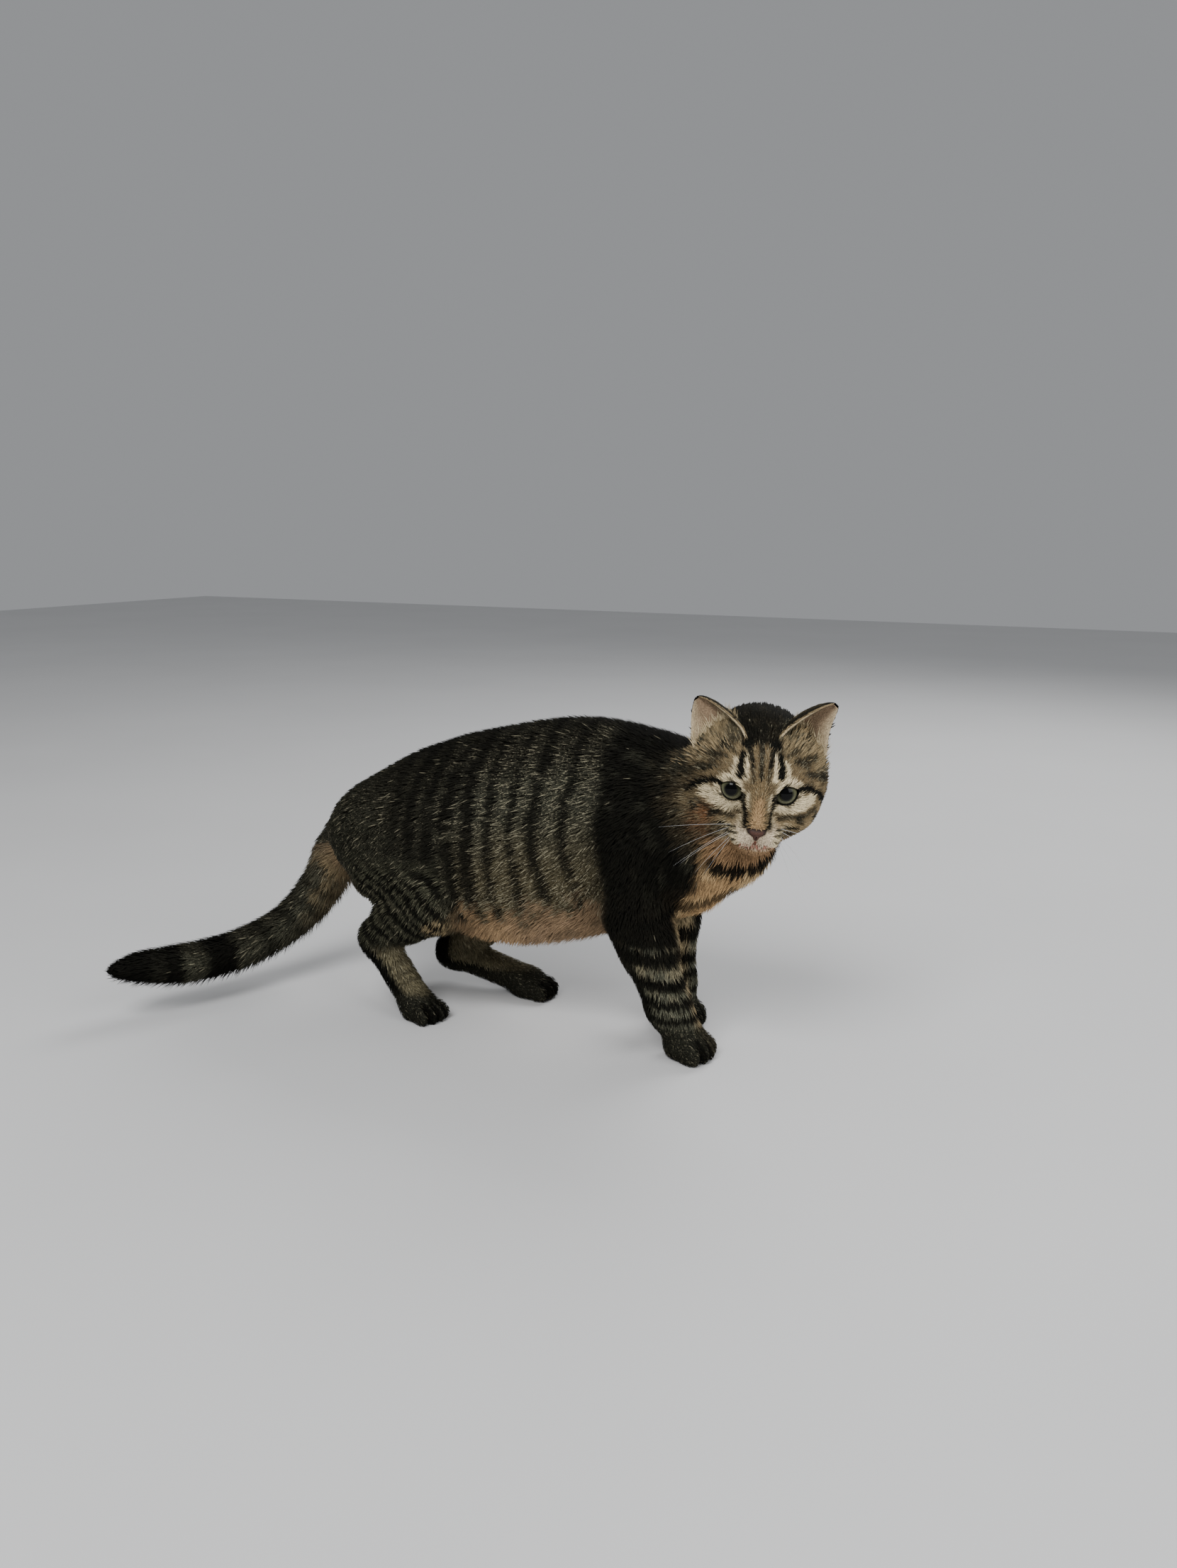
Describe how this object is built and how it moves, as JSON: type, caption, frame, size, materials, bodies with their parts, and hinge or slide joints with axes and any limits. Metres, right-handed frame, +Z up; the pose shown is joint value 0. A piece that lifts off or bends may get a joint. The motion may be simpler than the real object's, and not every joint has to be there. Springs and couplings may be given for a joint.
{
  "type": "domestic cat",
  "caption": "Life-size still model of a domestic shorthair cat, a brown mackerel tabby tom, walking slowly with its head turned to its right.",
  "frame": {"origin": "middle of the underside of the whole model's box, on the floor", "axes": "+X towards the shoulders, along the trunk; +Y to the cat's left; +Z up"},
  "size_m": [0.561, 0.2532, 0.2887],
  "materials": {
    "coat": "short dense fur, brown and black mackerel tabby, paler below",
    "nose": "fine-grained damp nose leather, brick red with a dark rim",
    "eye": "wet clear cornea over a grey-green iris with a wide round pupil",
    "whisker": "stiff white tapering whiskers"
  },
  "bodies": {
    "root": {"nose": "nose", "head": "coat", "forepaw_right": "coat", "forearm_right": "coat", "upper_arm_right": "coat", "forepaw_left": "coat", "forearm_left": "coat", "upper_arm_left": "coat", "hindpaw_right": "coat", "metatarsus_right": "coat", "shank_right": "coat", "thigh_right": "coat", "hindpaw_left": "coat", "metatarsus_left": "coat", "shank_left": "coat", "thigh_left": "coat", "tail_tip": "coat", "tail_middle": "coat", "tail_base": "coat", "neck": "coat", "chest": "coat", "abdomen": "coat", "rump": "coat", "ear_right": "coat", "ear_left": "coat", "eye_right": "eye", "eye_left": "eye"}
  },
  "joints": []
}
